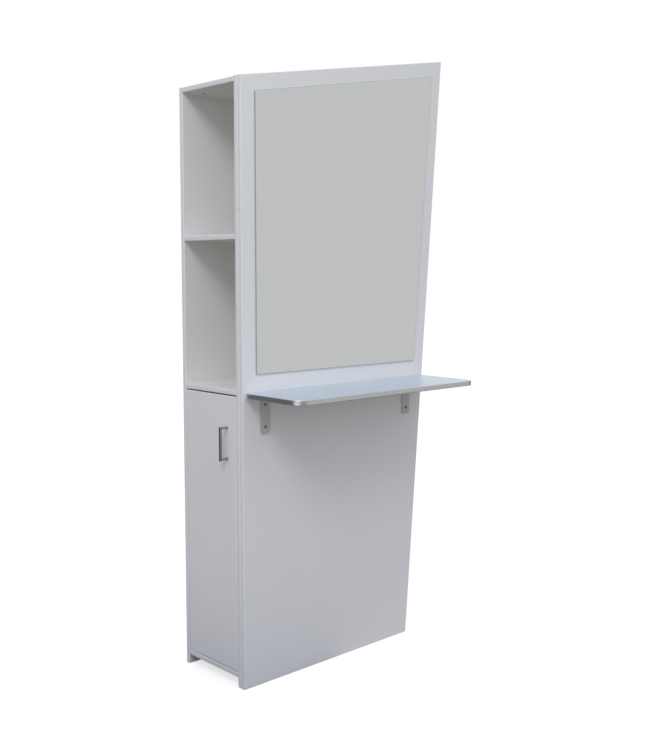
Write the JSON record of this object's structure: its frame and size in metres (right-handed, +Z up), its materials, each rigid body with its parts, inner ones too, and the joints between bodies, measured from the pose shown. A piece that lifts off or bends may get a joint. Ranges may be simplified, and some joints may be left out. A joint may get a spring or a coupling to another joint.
{
  "type": "salon styling station",
  "caption": "Tall salon styling station: slanted mirror panel, bracketed tray, and a side cabinet with open niches and a hinged door.",
  "frame": {"origin": "centre of the bounding box's footprint, on the floor", "axes": "+Z up, +Y from the mirror side to the back, +X to the right of a person facing the mirror"},
  "size_m": [0.92, 0.548, 2.01],
  "materials": {
    "white_board": "pearl white melamine on chipboard, satin",
    "white_edging": "white plastic edging, satin",
    "back_sheet": "white-faced hardboard",
    "silver_laminate": "silver-grey laminate on chipboard, satin",
    "tray_band": "brushed aluminium edge band",
    "mirror": "silvered float glass, polished edge",
    "foam_tape": "white double-sided foam tape",
    "bracket_paint": "silver-grey powder coat on steel",
    "bronzed_screw": "bronzed steel",
    "zinc_screw": "zinc-plated steel",
    "zinc_cam": "die-cast zinc",
    "nickel": "nickel-plated pressed steel",
    "brushed_nickel": "brushed dark nickel",
    "beech": "turned beech"
  },
  "bodies": {
    "cabinet": {"front_panel": "white_board", "front_panel_edging": "white_edging", "front_side_board": "white_board", "rear_side_board": "white_board", "side_board_edging": "white_edging", "top_board": "white_board", "middle_shelf": "white_board", "lower_shelf": "white_board", "bottom_board": "white_board", "shelf_edging": "white_edging", "back_panel": "back_sheet", "back_panel_screws": "zinc_screw", "panel_screws": "zinc_screw", "cam_housings": "zinc_cam", "cam_bolts": "zinc_screw", "dowels": "beech", "inner_shelf": "white_board", "shelf_pins": "nickel", "mirror_glass": "mirror", "mirror_tape": "foam_tape", "tray_board": "silver_laminate", "tray_edging": "tray_band", "bracket_left": "bracket_paint", "bracket_right": "bracket_paint", "bracket_panel_screws": "bronzed_screw", "bracket_tray_screws": "bronzed_screw", "hinge_arms": "nickel", "hinge_plates": "nickel", "hinge_plate_screws": "zinc_screw", "hinge_arm_screws": "zinc_screw"},
    "door": {"door": "white_board", "door_edging": "white_edging", "handle": "brushed_nickel", "handle_screws": "zinc_screw", "hinge_cups": "nickel", "hinge_pins": "nickel", "hinge_cup_screws": "zinc_screw"}
  },
  "joints": [
    {"name": "door_hinge", "type": "hinge", "parent": "cabinet", "child": "door", "pos_m": [-0.422, 0.246, 0.4775], "axis": [0, 0, -1], "range_deg": [0, 95]}
  ]
}
